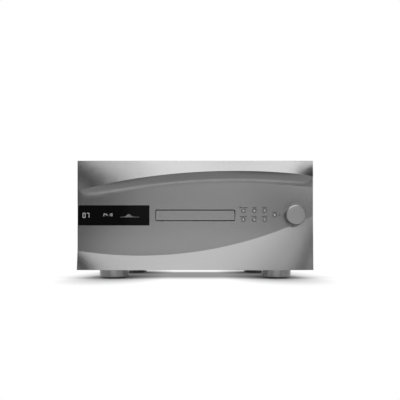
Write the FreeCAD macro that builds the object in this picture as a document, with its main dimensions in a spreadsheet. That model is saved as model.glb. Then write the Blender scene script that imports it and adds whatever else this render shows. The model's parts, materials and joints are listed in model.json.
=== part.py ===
"""Disc player: full-width case, sculpted front panel and a motor-driven disc tray.

Frame: X to the right, Y to the back, Z up, in millimetres. The origin is on the
surface that the feet stand on, under the middle of the whole object.
"""
import FreeCAD, Part
import math
import os
import re

import Sketcher
from FreeCAD import Placement, Rotation, Vector

# Driving sizes, in millimetres and degrees
SIZES = {
    # whole object
    "overall_width": 444, "overall_depth": 435, "panel_height": 206,
    "foot_gap": 17, "clearance": 0.3, "running": 0.05,
    # front panel and its two arcs
    "crest_height": 9, "panel_slab": 12, "panel_sections": 23,
    "crest_peak_x": 74.9, "crest_peak_z": 185.2, "crest_radius": 1240, "cove_drop": 21,
    "cove_turn": 7,
    "crest_end_left": 0.2, "crest_end_right": 0.5, "crest_rise_run": 45, "crest_fall_run": 16,
    "crease_low_x": -104.2, "crease_low_z": 27, "crease_radius": 748,
    "lip_end_left": 5, "lip_end_right": 3, "lip_rise_run": 25, "lip_fall_run": 42,
    "lip_growth": 0.075,
    # case
    "side_inset": 2, "case_drop": 1, "sheet_plate": 3, "side_wall": 6, "subpanel_wall": 2,
    "jack_reach": 9,
    # display window
    "window_from_mouth": 10.8, "window_height": 38.1, "window_plate": 4,
    "window_sink": 0.4, "window_rim": 7, "window_ledge": 4,
    # tray
    "tray_mouth_width": 151, "tray_mouth_height": 21.8, "mouth_corner": 3.2,
    "tray_front_width": 147.4, "tray_front_height": 18.2, "tray_front_wall": 8,
    "tray_width": 140, "tray_thick": 10, "tray_length": 188, "tray_rise": 0.4,
    "disc_well_radius": 61, "disc_well_depth": 5, "disc_set_back": 68,
    "tray_slot_width": 76, "tray_travel": 150,
    # buttons
    "button_radius": 3, "button_ring_radius": 3.8, "button_stand": 1.6, "button_sink": 0.8,
    "button_seat": 4,
    "button_flange_radius": 4.6, "button_flange": 1.2, "button_stem_radius": 1.6,
    "button_row_up": 8.5, "button_row_down": 8.3,
    "column_one_share": 0.06692, "column_two_share": 0.26674, "column_three_share": 0.4549,
    "power_share": 0.63822, "lens_share": 0.72745, "status_lens_radius": 1.3,
    "board": 1.6, "board_gap": 8, "switch_side": 7, "switch_depth": 4, "key_board_height": 36,
    # knob
    "knob_from_side": 34.9, "knob_radius": 17.5, "knob_reach": 13, "knob_edge": 1, "knob_bevel": 0.5,
    "knob_gap": 0.4, "knob_seat": 1.3, "dish_radius": 24, "dish_floor_radius": 12, "dish_depth": 1,
    "dish_up": 4, "shaft_radius": 3, "encoder_side": 14, "encoder_depth": 9,
    # feet
    "foot_radius": 28, "foot_from_side": 62.3, "foot_from_front": 45, "foot_spread": 315,
    "foot_edge": 2.2, "foot_pad_radius": 22, "foot_pad": 2.4, "foot_pad_stand": 1.2, "bolt_radius": 3,
    # fasteners
    "screw_radius": 1.75, "screw_head_radius": 2.8, "screw_head": 1.8, "screw_reach": 10,
    "screw_slack": 0.15,
    "screw_socket_radius": 1.2, "fascia_screw_inset": 72, "fascia_screw_up": 14,
    # transport
    "guide_slack": 0.5, "guide_wall": 10.5, "deck_wall": 3, "deck_floor_drop": 30, "deck_floor": 3,
    "deck_length": 214,
    "ledge": 6, "post_radius": 4,
    "gear_module": 1.5, "rack_gear_teeth": 24, "drive_pinion_teeth": 14, "backlash": 0.3,
    "axle_radius": 2.5, "rack_drop": 6, "rack_back": 4, "gear_thick": 4.6, "gear_row_y": 20,
    "drive_pulley_radius": 15, "motor_pulley_radius": 5, "pulley_thick": 4, "belt_span": 36,
    "motor_shaft_reach": 10, "motor_shaft_radius": 1,
    "belt_wall": 1.4,
    "lift_travel": 10, "frame_width": 92, "frame_length": 118, "frame_thick": 6, "pin_radius": 2.5,
    "platter_radius": 14, "platter_lift": 7.3, "platter_thick": 3, "cone_radius": 7.2, "cone_rise": 1.8,
    "spindle_radius": 1.5, "spindle_motor_radius": 13,
    "sled_travel": 34, "lens_start": 24, "lens_radius": 3.5, "sled_length": 26, "rod_radius": 1.5,
    "rod_x": 34,
    "feed_module": 1, "feed_teeth": 16,
    "cam_wall": 2.4, "cam_travel": 25, "cam_end": 9, "cam_gap": 3, "follower_radius": 2,
    "feed_shaft_radius": 1,
    "clamp_radius": 17, "clamp_flange_radius": 13, "bridge_wall": 2,
    # electronics
    "toroid_radius": 48, "toroid_hole": 14, "toroid_height": 46, "toroid_from_side": 16, "toroid_y": -70,
    "toroid_edge": 7, "washer_radius": 28, "washer": 2, "toroid_bolt_radius": 4, "toroid_bolt_rise": 8,
    "power_board_width": 152, "power_board_ahead": 36, "power_board_behind": 100,
    "main_board_width": 120, "output_board_width": 180, "rear_boards_y": 44, "rear_boards_gap": 24,
    "boards_apart": 20, "board_from_side": 18, "standoff_inset": 5, "standoff_radius": 3,
    "board_lift": 12, "capacitor_radius": 15, "capacitor_height": 32,
    "base_vent_pitch": 22, "base_vent_length": 14, "base_vent_step": 10, "base_vent_slot": 4,
    "base_vent_y": 20,
    # rear
    "phono_radius": 4.15, "phono_bore": 1.6, "bayonet_radius": 4.8, "balanced_radius": 12,
    "phono_x": 30, "phono_pitch": 26, "phono_rise": 14, "bayonet_x": -108, "bayonet_pitch": 28,
    "balanced_from_side": 60, "balanced_pitch": 56, "balanced_plate_width": 26, "balanced_plate_height": 31,
    "low_row": 40, "network_from_side": 116, "data_from_side": 154, "inlet_from_side": 44,
    "rocker_from_side": 74,
    "rear_vent_pitch": 17, "rear_vent_length": 12, "rear_vent_step": 7, "rear_vent_slot": 3,
    "rear_vent_drop": 20,
    "inlet_width": 27, "inlet_height": 20, "inlet_depth": 22, "inlet_body_width": 61,
    "rocker_width": 12, "rocker_height": 20, "rocker_tilt": 9,
}

# Places worked out from the driving sizes
PLACES = {
    "front_y": "knob_reach - crest_height - overall_depth / 2",
    "face_y": "front_y + crest_height",
    "panel_back_y": "face_y + panel_slab",
    "rear_y": "overall_depth / 2 - jack_reach",
    "panel_top": "foot_gap + panel_height",
    "mid_z": "foot_gap + panel_height / 2",
    "half_width": "overall_width / 2",
    "window_end_x": "-tray_mouth_width / 2 - window_from_mouth",
    "knob_x": "half_width - knob_from_side",
    "foot_x": "half_width - foot_from_side",
    "deck_half": "tray_width / 2 + guide_slack + guide_wall + deck_wall",
    "control_run": "knob_x - deck_half",
    "button_column_one": "deck_half + column_one_share * control_run",
    "button_column_two": "deck_half + column_two_share * control_run",
    "button_column_three": "deck_half + column_three_share * control_run",
    "power_button_x": "deck_half + power_share * control_run",
    "status_lens_x": "deck_half + lens_share * control_run",
    "case_half": "overall_width / 2 - side_inset",
    "inner_half": "case_half - side_wall",
    "floor_z": "foot_gap + sheet_plate",
    "case_top": "panel_top - case_drop",
    "ceiling_z": "case_top - sheet_plate",
    "rear_inner_y": "rear_y - sheet_plate",
    "subpanel_back_y": "panel_back_y + subpanel_wall",
    "foot_front_y": "front_y + foot_from_front",
    "foot_rear_y": "foot_front_y + foot_spread",
    "tray_bottom": "mid_z - tray_thick / 2 + tray_rise",
    "tray_top": "tray_bottom + tray_thick",
    "tray_front_y": "face_y + clearance",
    "tray_start_y": "tray_front_y + tray_front_wall",
    "tray_end_y": "tray_start_y + tray_length",
    "disc_y": "tray_start_y + disc_set_back",
    "well_floor": "tray_top - disc_well_depth",
    "deck_z": "mid_z - deck_floor_drop",
    "deck_top_z": "deck_z + deck_floor",
    "deck_front_y": "subpanel_back_y + 2",
    "deck_end_y": "deck_front_y + deck_length",
    "frame_z": "tray_bottom - lift_travel - frame_thick - 1",
    "frame_top": "frame_z + frame_thick",
    "frame_front_y": "disc_y - spindle_motor_radius - 6",
    "frame_end_y": "frame_front_y + frame_length",
    "platter_z": "frame_top + platter_lift",
    "clamp_z": "tray_top + 0.8",
    "bridge_z": "clamp_z + 3.2",
    "board_z": "floor_z + board_lift",
    "toroid_x": "inner_half - toroid_from_side - toroid_radius",
    "output_board_x": "inner_half - board_from_side - output_board_width",
    "main_board_end": "output_board_x - boards_apart",
}

doc = FreeCAD.newDocument("disc_player")
sheet = doc.addObject("Spreadsheet::Sheet", "sizes")
places = doc.addObject("App::VarSet", "places")
subparts = []


def fill_sheet():
    """One row of the sheet for each driving size."""
    for row, (alias, number) in enumerate(SIZES.items(), 1):
        sheet.set("A%d" % row, alias)
        sheet.set("B%d" % row, "%g" % number)
        sheet.setAlias("B%d" % row, alias)
    doc.recompute()
    for name, formula in PLACES.items():
        places.addProperty("App::PropertyFloat", name, "Worked out")
        places.setExpression(name, full(formula))
        doc.recompute()


def full(formula):
    """Give each size and place in a formula the name of its holder."""
    def holder(match):
        word = match.group(0)
        if word in SIZES:
            return "sizes." + word
        if word in PLACES:
            return "places." + word
        return word
    return re.sub(r"[a-z_]+(?![a-z_(])", holder, str(formula))


def value(formula):
    """The number that a formula of sizes and places stands for."""
    return float(sheet.evalExpression(full("0 + " + str(formula))))


def place(obj, x=0, y=0, z=0):
    """Bind an object's place to three formulas."""
    for letter, formula in (("x", x), ("y", y), ("z", z)):
        obj.setExpression("Placement.Base." + letter, full("(%s) * 1 mm" % formula))


def box(name, x, y, z):
    """Block between pairs of formulas along X, Y and Z."""
    obj = doc.addObject("Part::Box", name)
    for side, (low, high) in (("Length", x), ("Width", y), ("Height", z)):
        obj.setExpression(side, full("((%s) - (%s)) * 1 mm" % (high, low)))
    place(obj, x[0], y[0], z[0])
    return obj


TURNS = {
    "x": Rotation(Vector(0, 1, 0), 90),
    "y": Rotation(Vector(1, 0, 0), -90),
    "z": Rotation(),
}


def rod(name, radius, length, x, y, z, along="z"):
    """Round bar that starts at x, y, z and runs along an axis."""
    obj = doc.addObject("Part::Cylinder", name)
    obj.Placement = Placement(Vector(), TURNS[along])
    obj.setExpression("Radius", full("(%s) * 1 mm" % radius))
    obj.setExpression("Height", full("(%s) * 1 mm" % length))
    place(obj, x, y, z)
    return obj


def join(name, pieces):
    obj = doc.addObject("Part::MultiFuse", name)
    obj.Shapes = pieces
    return obj


def group(name, pieces):
    """Separate solids that share one node."""
    obj = doc.addObject("Part::Compound", name)
    obj.Links = pieces
    return obj


def cut(name, base, tools):
    """Take the tools away from the base."""
    tool = tools[0] if len(tools) == 1 else join(name + "_tools", tools)
    obj = doc.addObject("Part::Cut", name)
    obj.Base = base
    obj.Tool = tool
    return obj


def formed(name, shape):
    """Sub-part whose shape comes from formulas in code."""
    obj = doc.addObject("Part::Feature", name)
    obj.Shape = shape
    return obj


def keep(label, obj):
    """Register an object as a sub-part of the model."""
    obj.Label = label
    subparts.append(obj)
    return obj


def outline(body, role, corners):
    """Closed sketch on one of the body's planes, each corner bound to two formulas."""
    sketch = body.newObject("Sketcher::SketchObject", body.Name + "_outline")
    plane = [item for item in body.Origin.OriginFeatures if item.Role == role][0]
    sketch.AttachmentSupport = [(plane, "")]
    sketch.MapMode = "FlatFace"
    points = [Vector(value(u), value(v), 0) for u, v in corners]
    count = len(points)
    for index in range(count):
        sketch.addGeometry(Part.LineSegment(points[index], points[(index + 1) % count]))
    for index in range(count):
        sketch.addConstraint(Sketcher.Constraint("Coincident", index, 2, (index + 1) % count, 1))
    for index, (u, v) in enumerate(corners):
        for kind, formula, number in (("DistanceX", u, points[index].x), ("DistanceY", v, points[index].y)):
            place_of = sketch.addConstraint(Sketcher.Constraint(kind, -1, 1, index, 1, number))
            sketch.setExpression("Constraints[%d]" % place_of, full(formula))
    return sketch


def turned(name, corners, x=0, y=0, z=0, along="z"):
    """Body turned from an outline of (radius, height) corners about its own axis."""
    body = doc.addObject("PartDesign::Body", name)
    sketch = outline(body, "XZ_Plane", corners)
    turn = body.newObject("PartDesign::Revolution", name + "_turn")
    turn.Profile = sketch
    turn.ReferenceAxis = (sketch, ["V_Axis"])
    turn.Angle = 360
    body.Placement = Placement(Vector(), TURNS[along])
    place(body, x, y, z)
    return body


def slab(name, role, corners, start, length):
    """Body padded from an outline, from start over length along the plane's axis."""
    body = doc.addObject("PartDesign::Body", name)
    sketch = outline(body, role, corners)
    pad = body.newObject("PartDesign::Pad", name + "_pad")
    pad.Profile = sketch
    pad.setExpression("Length", full("(%s) * 1 mm" % length))
    pad.Reversed = role == "XZ_Plane"
    shift = {"XY_Plane": (0, 0, start), "XZ_Plane": (0, start, 0), "YZ_Plane": (start, 0, 0)}[role]
    place(body, *shift)
    return body


def rounded(name, x, y, z, radius, along="y"):
    """Block with its four edges along one axis rounded."""
    role = {"y": "XZ_Plane", "z": "XY_Plane"}[along]
    second = z if along == "y" else y
    run = y if along == "y" else z
    corners = [(x[0], second[0]), (x[1], second[0]), (x[1], second[1]), (x[0], second[1])]
    body = slab(name, role, corners, run[0], "(%s) - (%s)" % (run[1], run[0]))
    doc.recompute()
    pad = body.Tip
    axis = {"y": Vector(0, 1, 0), "z": Vector(0, 0, 1)}[along]
    edges = []
    for number, edge in enumerate(pad.Shape.Edges, 1):
        if abs(edge.tangentAt(edge.FirstParameter).dot(axis)) > 0.99:
            edges.append("Edge%d" % number)
    fillet = body.newObject("PartDesign::Fillet", name + "_corners")
    fillet.Base = (pad, edges)
    fillet.setExpression("Radius", full("(%s) * 1 mm" % radius))
    return body


# Front panel

BUTTONS = {
    "play": ("button_column_one", "mid_z + button_row_up"),
    "stop": ("button_column_two", "mid_z + button_row_up"),
    "next": ("button_column_three", "mid_z + button_row_up"),
    "open": ("button_column_one", "mid_z - button_row_down"),
    "previous": ("button_column_two", "mid_z - button_row_down"),
    "repeat": ("button_column_three", "mid_z - button_row_down"),
    "power": ("power_button_x", "mid_z"),
}


def crest_z(x):
    radius = value("crest_radius")
    away = x - value("crest_peak_x")
    return value("foot_gap + crest_peak_z") - radius + math.sqrt(radius ** 2 - away ** 2)


def crease_z(x):
    radius = value("crease_radius")
    away = x - value("crease_low_x")
    return value("foot_gap + crease_low_z") + radius - math.sqrt(radius ** 2 - away ** 2)


def faded(x, ridge, height):
    """Height of a ridge at x: whole in the middle, and faded towards both ends of the panel."""
    half = value("half_width")
    least = value(ridge + ("_end_left" if x < 0 else "_end_right"))
    rise = 1 - math.exp(-(x + half) / value(ridge + "_rise_run"))
    fall = 1 - math.exp(-(half - x) / value(ridge + "_fall_run"))
    return least + (height - least) * rise * fall


def panel_section(x):
    """Closed outline of the panel at x: flat back, sloping bands, face and cove."""
    face = value("face_y")
    back = value("panel_back_y")
    bottom = value("foot_gap")
    top = value("panel_top")
    crest = faded(x, "crest", value("crest_height"))
    growth = value("lip_growth") * (crease_z(x) - crease_z(value("crease_low_x")))
    lip = face - faded(x, "lip", value("crest_height") + growth)
    high = crest_z(x)
    low = high - value("cove_drop")

    def at(y, z):
        return Vector(x, y, z)

    corners = [at(back, bottom), at(lip, bottom), at(face, crease_z(x)), at(face, low)]
    edges = [Part.LineSegment(corners[i], corners[i + 1]) for i in range(3)]
    cove = Part.BezierCurve()
    cove.setPoles([at(face, low), at(face, high - value("cove_turn")), at(face - crest, high)])
    edges.append(cove)
    last = [at(face - crest, high), at(face, top), at(back, top), at(back, bottom)]
    edges += [Part.LineSegment(last[i], last[i + 1]) for i in range(3)]
    return Part.Wire([edge.toShape() for edge in edges])


def knob_hollow():
    """Shallow thumb hollow set a little above the knob, level with the face at its rim."""
    rim = value("dish_radius")
    foot = value("dish_floor_radius")
    depth = value("dish_depth")
    reach = value("crest_height + 1")
    bend = ((rim - foot) ** 2 + depth ** 2) / (2 * depth)
    turn = math.asin((rim - foot) / bend) / 2
    middle = Vector(rim - bend * math.sin(turn), bend * (1 - math.cos(turn)), 0)
    corners = [Vector(foot, depth, 0), Vector(0, depth, 0), Vector(0, -reach, 0),
               Vector(rim, -reach, 0), Vector(rim, 0, 0)]
    edges = [Part.LineSegment(corners[i], corners[i + 1]).toShape() for i in range(len(corners) - 1)]
    edges.append(Part.Arc(corners[-1], middle, corners[0]).toShape())
    hollow = Part.Face(Part.Wire(edges)).revolve(Vector(), Vector(0, 1, 0), 360)
    return moved(hollow, value("knob_x"), value("face_y"), value("mid_z + dish_up"))


def button_bore(name, x, z):
    """Bore for a button: sunk ring at the face and a seat for its flange at the back."""
    wide = "button_flange_radius + clearance"
    narrow = "button_radius + clearance"
    return turned("bore_" + name, [
        ("0", "-1"), ("button_ring_radius", "-1"), ("button_ring_radius", "0"), (narrow, "button_sink"),
        (narrow, "panel_slab - button_seat"), (wide, "panel_slab - button_seat"),
        (wide, "panel_slab + 1"), ("0", "panel_slab + 1"),
    ], x, "face_y", z, "y")


def front_panel():
    half = value("half_width")
    spans = int(value("panel_sections")) - 1
    sections = [panel_section(-half * math.cos(math.pi * index / spans)) for index in range(spans + 1)]
    form = formed("panel_form", Part.makeLoft(sections, True, False))
    tools = [
        box("window_seat", ("-half_width - 1", "window_end_x"),
            ("front_y - 1", "face_y + window_sink + window_plate"), window_range("0")),
        box("window_hole", ("-half_width + 2 * window_rim", "window_end_x - window_rim"),
            ("front_y", "panel_back_y + 1"), window_range("window_ledge")),
        rounded("tray_mouth", ("-tray_mouth_width / 2", "tray_mouth_width / 2"), ("front_y - 1",
                                                                                  "panel_back_y + 1"),
                ("mid_z - tray_mouth_height / 2", "mid_z + tray_mouth_height / 2"), "mouth_corner"),
        formed("knob_hollow", knob_hollow()),
        rod("knob_recess", "knob_radius + knob_gap", "crest_height + knob_seat", "knob_x",
            "face_y - crest_height", "mid_z", "y"),
        rod("knob_hole", "shaft_radius + 1.5", "panel_slab + 2", "knob_x", "face_y - 1", "mid_z", "y"),
        rod("lens_hole", "status_lens_radius + running", "panel_slab + 2", "status_lens_x", "face_y - 1",
            "mid_z", "y"),
    ]
    tools += [button_bore(name, x, z) for name, (x, z) in BUTTONS.items()]
    keep("front_panel", cut("front_panel_cut", form, tools))


def window_range(inset):
    """Height range of the window, less an inset at the top and bottom."""
    return "mid_z - window_height / 2 + (%s)" % inset, "mid_z + window_height / 2 - (%s)" % inset


def display_window():
    edge = "window_end_x - clearance / 2"
    plate = slab("window_plate_body", "XZ_Plane", [
        ("clearance / 2 - half_width", "mid_z - window_height / 2 + clearance / 2"),
        (edge, "mid_z - window_height / 2 + clearance / 2"),
        (edge, "mid_z + window_height / 2 - clearance / 2"),
        ("clearance / 2 - half_width", "mid_z + window_height / 2 - clearance / 2"),
    ], "face_y + window_sink", "window_plate")
    keep("display_window", plate)


def display_module():
    x = ("-half_width + 2 * window_rim + 1", "window_end_x - window_rim - 1")
    glass = box("display_glass", x, ("face_y + window_sink + window_plate", "subpanel_back_y + 1"),
                window_range("window_ledge + 1"))
    card = box("display_card", ("-inner_half + 2", x[1]), ("subpanel_back_y", "subpanel_back_y + board"),
               ("mid_z - window_height / 2 - 4", "mid_z + window_height / 2 + 4"))
    plug = box("display_plug", ("-half_width / 2 - 30", "-half_width / 2 - 12"),
               ("subpanel_back_y + board", "subpanel_back_y + board + 7"), ("mid_z - 4", "mid_z + 4"))
    keep("display_module", join("display_module_body", [glass, card, plug]))


def status_lens():
    keep("status_lens", turned("lens_body", [("0", "0"), ("status_lens_radius", "0"),
         ("status_lens_radius", "panel_slab + board_gap - 5"), ("0", "panel_slab + board_gap - 5")],
         "status_lens_x", "face_y + clearance", "mid_z", "y"))


def front_subpanel():
    plate = slab("subpanel_plate", "XZ_Plane", [
        ("-inner_half", "floor_z"), ("inner_half", "floor_z"),
        ("inner_half", "ceiling_z"), ("-inner_half", "ceiling_z"),
    ], "panel_back_y", "subpanel_wall")
    y = ("panel_back_y - 1", "subpanel_back_y + 1")
    tools = [
        box("subpanel_window", ("-half_width + 2 * window_rim", "window_end_x - window_rim"),
            y,
            window_range("window_ledge")),
        box("subpanel_mouth", ("-tray_mouth_width / 2 - 2", "tray_mouth_width / 2 + 2"), y,
            ("mid_z - tray_mouth_height / 2 - 2", "mid_z + tray_mouth_height / 2 + 2")),
        box("subpanel_keys", ("button_column_one - 8.5", "status_lens_x + 6"), y, ("mid_z - 20",
                                                                                   "mid_z + 20")),
        rod("subpanel_shaft", "shaft_radius + 2.5", "subpanel_wall + 2", "knob_x", "panel_back_y - 1",
            "mid_z", "y"),
    ]
    for index, (x, z) in enumerate(FASCIA_SCREWS):
        tools.append(rod("subpanel_screw_%d" % index, "screw_radius + screw_slack", "subpanel_wall + 2",
                         x, "panel_back_y - 1", z, "y"))
    keep("front_subpanel", cut("subpanel_cut", plate, tools))


# Casework

def plate_between(name, x, y, z):
    """Flat plate as a padded body."""
    return slab(name, "XY_Plane", [(x[0], y[0]), (x[1], y[0]), (x[1], y[1]), (x[0], y[1])],
                z[0], "(%s) - (%s)" % (z[1], z[0]))


FASCIA_SCREWS = [(x, z) for z in ("floor_z + fascia_screw_up", "ceiling_z - fascia_screw_up")
                 for x in ("fascia_screw_inset - half_width", "0", "half_width - fascia_screw_inset")]
EDGE_SCREWS_Y = ("panel_back_y + 30", "0", "rear_y - 40")
REAR_SCREWS_Z = ("floor_z + 20", "mid_z", "ceiling_z - 20")
FEET = {
    "foot_front_left": ("-foot_x", "foot_front_y"), "foot_front_right": ("foot_x", "foot_front_y"),
    "foot_rear_left": ("-foot_x", "foot_rear_y"), "foot_rear_right": ("foot_x", "foot_rear_y"),
}
SIDES = {"left": "-1", "right": "1"}


def base_plate():
    plate = plate_between("base_sheet", ("-case_half", "case_half"), ("panel_back_y", "rear_y"),
                          ("foot_gap", "floor_z"))
    tools = []
    for name, (x, y) in FEET.items():
        tools.append(rod("bolt_hole_" + name, "bolt_radius + screw_slack", "sheet_plate + 2", x, y,
                         "foot_gap - 1"))
    for row in range(6):
        y = "base_vent_y + %d * base_vent_step" % row
        for column in range(-4, 5):
            x = "%d * base_vent_pitch" % column
            tools.append(box("base_vent_%d_%d" % (row, column + 4),
                             (x + " - base_vent_length / 2", x + " + base_vent_length / 2"),
                             (y, y + " + base_vent_slot"), ("foot_gap - 1", "floor_z + 1")))
    keep("base_plate", cut("base_plate_cut", plate, tools))


def top_cover():
    plate = plate_between("cover_sheet", ("-case_half", "case_half"), ("panel_back_y", "rear_y"),
                          ("ceiling_z", "case_top"))
    tools = []
    for side, sign in SIDES.items():
        for index, y in enumerate(EDGE_SCREWS_Y):
            x = "%s * (case_half - side_wall / 2)" % sign
            tools.append(rod("cover_hole_%s_%d" % (side, index), "screw_radius + screw_slack",
                             "sheet_plate + 2",
                             x, y, "ceiling_z - 1"))
            tools.append(rod("cover_sink_%s_%d" % (side, index), "screw_head_radius + screw_slack",
                             "screw_head + 1", x, y, "case_top - screw_head"))
    keep("top_cover", cut("top_cover_cut", plate, tools))


def side_panels():
    for side, sign in SIDES.items():
        low, high = ("-case_half", "-inner_half") if side == "left" else ("inner_half", "case_half")
        plate = plate_between("side_sheet_" + side, (low, high), ("panel_back_y", "rear_inner_y"),
                              ("floor_z", "ceiling_z"))
        tools = []
        middle = "%s * (case_half - side_wall / 2)" % sign
        for index, y in enumerate(EDGE_SCREWS_Y):
            tools.append(rod("side_tap_%s_%d" % (side, index), "screw_radius + screw_slack",
                             "screw_reach + 2",
                             middle, y, "ceiling_z - screw_reach - 1"))
        for index, z in enumerate(REAR_SCREWS_Z):
            tools.append(rod("side_back_%s_%d" % (side, index), "screw_radius + screw_slack",
                             "screw_reach + 2",
                             middle, "rear_inner_y - screw_reach - 1", z, "y"))
        keep("side_panel_" + side, cut("side_panel_cut_" + side, plate, tools))


def case_screws():
    """Cap screws that hold the cover down and the rear panel on the side panels."""
    screws = []
    for side, sign in SIDES.items():
        x = "%s * (case_half - side_wall / 2)" % sign
        for index, y in enumerate(EDGE_SCREWS_Y):
            starts = [(x, y, z) for z in ("case_top - screw_head", "case_top - screw_reach", "case_top - 1")]
            screws.append(cap_screw("cover_screw_%s_%d" % (side, index), starts, "z"))
        for index, z in enumerate(REAR_SCREWS_Z):
            starts = [(x, y, z) for y in ("rear_y", "rear_y - screw_reach", "rear_y + screw_head - 1")]
            screws.append(cap_screw("back_screw_%s_%d" % (side, index), starts, "y"))
    keep("case_screws", group("case_screw_set", screws))


def cap_screw(name, starts, along):
    """Socket-head screw from the starting points of its head, shank and socket."""
    head = rod(name + "_head", "screw_head_radius", "screw_head", *starts[0], along=along)
    shank = rod(name + "_shank", "screw_radius", "screw_reach", *starts[1], along=along)
    socket = rod(name + "_socket", "screw_socket_radius", "screw_head", *starts[2], along=along)
    return cut(name, join(name + "_blank", [head, shank]), [socket])


def front_panel_screws():
    screws = []
    for index, (x, z) in enumerate(FASCIA_SCREWS):
        name = "fascia_screw_%d" % index
        head = rod(name + "_head", "screw_head_radius", "screw_head", x, "subpanel_back_y", z, "y")
        shank = rod(name + "_shank", "screw_radius", "subpanel_wall", x, "panel_back_y", z, "y")
        screws.append(join(name, [head, shank]))
    keep("front_panel_screws", group("fascia_screw_set", screws))


def feet():
    height = "foot_gap - foot_pad_stand"
    for name, (x, y) in FEET.items():
        foot = turned(name + "_body", [
            ("bolt_radius + screw_slack", "foot_pad"), ("foot_pad_radius + clearance", "foot_pad"),
            ("foot_pad_radius + clearance", "0"), ("foot_radius - foot_edge", "0"),
            ("foot_radius", "foot_edge"), ("foot_radius", height),
            ("bolt_radius + screw_slack", height),
        ], x, y, "foot_pad_stand")
        keep(name, foot)


def foot_pads():
    pads = []
    for name, (x, y) in FEET.items():
        pads.append(turned("pad_" + name, [
            ("8", "0"), ("foot_pad_radius - 1", "0"), ("foot_pad_radius", "1"),
            ("foot_pad_radius", "foot_pad_stand + foot_pad"), ("8", "foot_pad_stand + foot_pad"),
        ], x, y, "0"))
    keep("foot_pads", group("foot_pad_set", pads))


def foot_bolts():
    bolts = []
    for name, (x, y) in FEET.items():
        head = rod("bolt_head_" + name, "6", "4", x, y, "floor_z")
        shank = rod("bolt_shank_" + name, "bolt_radius", "floor_z - foot_pad_stand - foot_pad - 1",
                    x, y, "foot_pad_stand + foot_pad + 1")
        bolts.append(join("bolt_" + name, [head, shank]))
    keep("foot_bolts", group("foot_bolt_set", bolts))


# Controls

def buttons():
    depth = "panel_slab + board_gap"
    for name, (x, z) in BUTTONS.items():
        button = turned("button_body_" + name, [
            ("0", "-button_stand"), ("button_radius * 0.55", "-button_stand * 0.86"),
            ("button_radius * 0.9", "-button_stand * 0.4"), ("button_radius", "0"),
            ("button_radius", "panel_slab - 2"), ("button_flange_radius", "panel_slab - 2"),
            ("button_flange_radius", "panel_slab - 2 + button_flange"),
            ("button_stem_radius", "panel_slab - 2 + button_flange"),
            ("button_stem_radius", depth + " - 2.6"), ("0", depth + " - 2.6"),
        ], x, "face_y", z, "y")
        keep("button_" + name, button)


def button_board():
    card_y = "panel_back_y + board_gap"
    card = box("key_card", ("button_column_one - 5.5", "status_lens_x + 5"), (card_y, card_y + " + board"),
               ("mid_z - key_board_height / 2", "mid_z + key_board_height / 2"))
    pieces = [card]
    holes = []
    for name, (x, z) in BUTTONS.items():
        across, up = around(x, z, "switch_side", "switch_side")
        pieces.append(box("switch_" + name, across, (card_y + " - switch_depth", card_y), up))
        holes.append(rod("switch_hole_" + name, "button_stem_radius + clearance", "switch_depth",
                         x, card_y + " - switch_depth", z, "y"))
    for side, x in (("left", "button_column_one - 3"), ("right", "status_lens_x + 1")):
        for level, sign in (("low", "-"), ("high", "+")):
            z = "mid_z %s (key_board_height / 2 - 2.5)" % sign
            pieces.append(rod("key_post_%s_%s" % (side, level), "2", "board_gap", x, "panel_back_y", z, "y"))
    pieces.append(rod("lamp", "1.5", "2.5", "status_lens_x", card_y + " - 2.5", "mid_z", "y"))
    keep("button_board", cut("button_board_cut", join("button_board_blank", pieces), holes))


def control_knob():
    knob = turned("knob_body", [
        ("0", "0"), ("knob_radius - knob_edge", "0"), ("knob_radius", "knob_bevel"),
        ("knob_radius", "knob_reach + knob_seat - clearance"),
        ("shaft_radius", "knob_reach + knob_seat - clearance"),
        ("shaft_radius", "knob_reach + panel_slab + subpanel_wall + 6"),
        ("0", "knob_reach + panel_slab + subpanel_wall + 6"),
    ], "knob_x", "face_y - knob_reach", "mid_z", "y")
    keep("control_knob", knob)


def knob_encoder():
    case = box("encoder_case", ("knob_x - encoder_side / 2", "knob_x + encoder_side / 2"),
               ("subpanel_back_y", "subpanel_back_y + encoder_depth"),
               ("mid_z - encoder_side / 2", "mid_z + encoder_side / 2"))
    bush = rod("encoder_bush", "shaft_radius + 1.4",
               "panel_slab + subpanel_wall - knob_seat - clearance + 1", "knob_x",
               "face_y + knob_seat + clearance", "mid_z", "y")
    bore = rod("encoder_bore", "shaft_radius + running", "panel_slab + subpanel_wall + encoder_depth - 2",
               "knob_x", "face_y", "mid_z", "y")
    keep("knob_encoder", cut("encoder_cut", join("encoder_blank", [case, bush]), [bore]))


# Toothed parts

PRESSURE = math.radians(20)


def gear_shape(module, teeth, bore, thick, thin, phase):
    """Spur gear about Z with flanks along an involute, thinned by the backlash."""
    pitch = module * teeth / 2
    base = pitch * math.cos(PRESSURE)
    outer = pitch + module * 0.9
    root = pitch - module * 1.2
    half_tooth = math.pi / (2 * teeth) - thin / 2 / pitch

    def spread(radius):
        if radius <= base:
            return 0.0
        angle = math.acos(base / radius)
        return math.tan(angle) - angle

    start = max(base, root)
    flank = []
    for step in range(5):
        radius = start + (outer - start) * step / 4
        flank.append((radius, half_tooth + spread(pitch) - spread(radius)))
    if root < base:
        flank.insert(0, (root, flank[0][1]))
    points = []
    for tooth in range(teeth):
        middle = phase + 2 * math.pi * tooth / teeth
        points += [(radius, middle - angle) for radius, angle in flank]
        points += [(radius, middle + angle) for radius, angle in reversed(flank)]
    corners = [Vector(r * math.cos(a), r * math.sin(a), 0) for r, a in points]
    face = Part.Face(Part.makePolygon(corners + corners[:1]))
    gear = face.extrude(Vector(0, 0, thick))
    return gear.cut(Part.makeCylinder(bore, thick))


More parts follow.
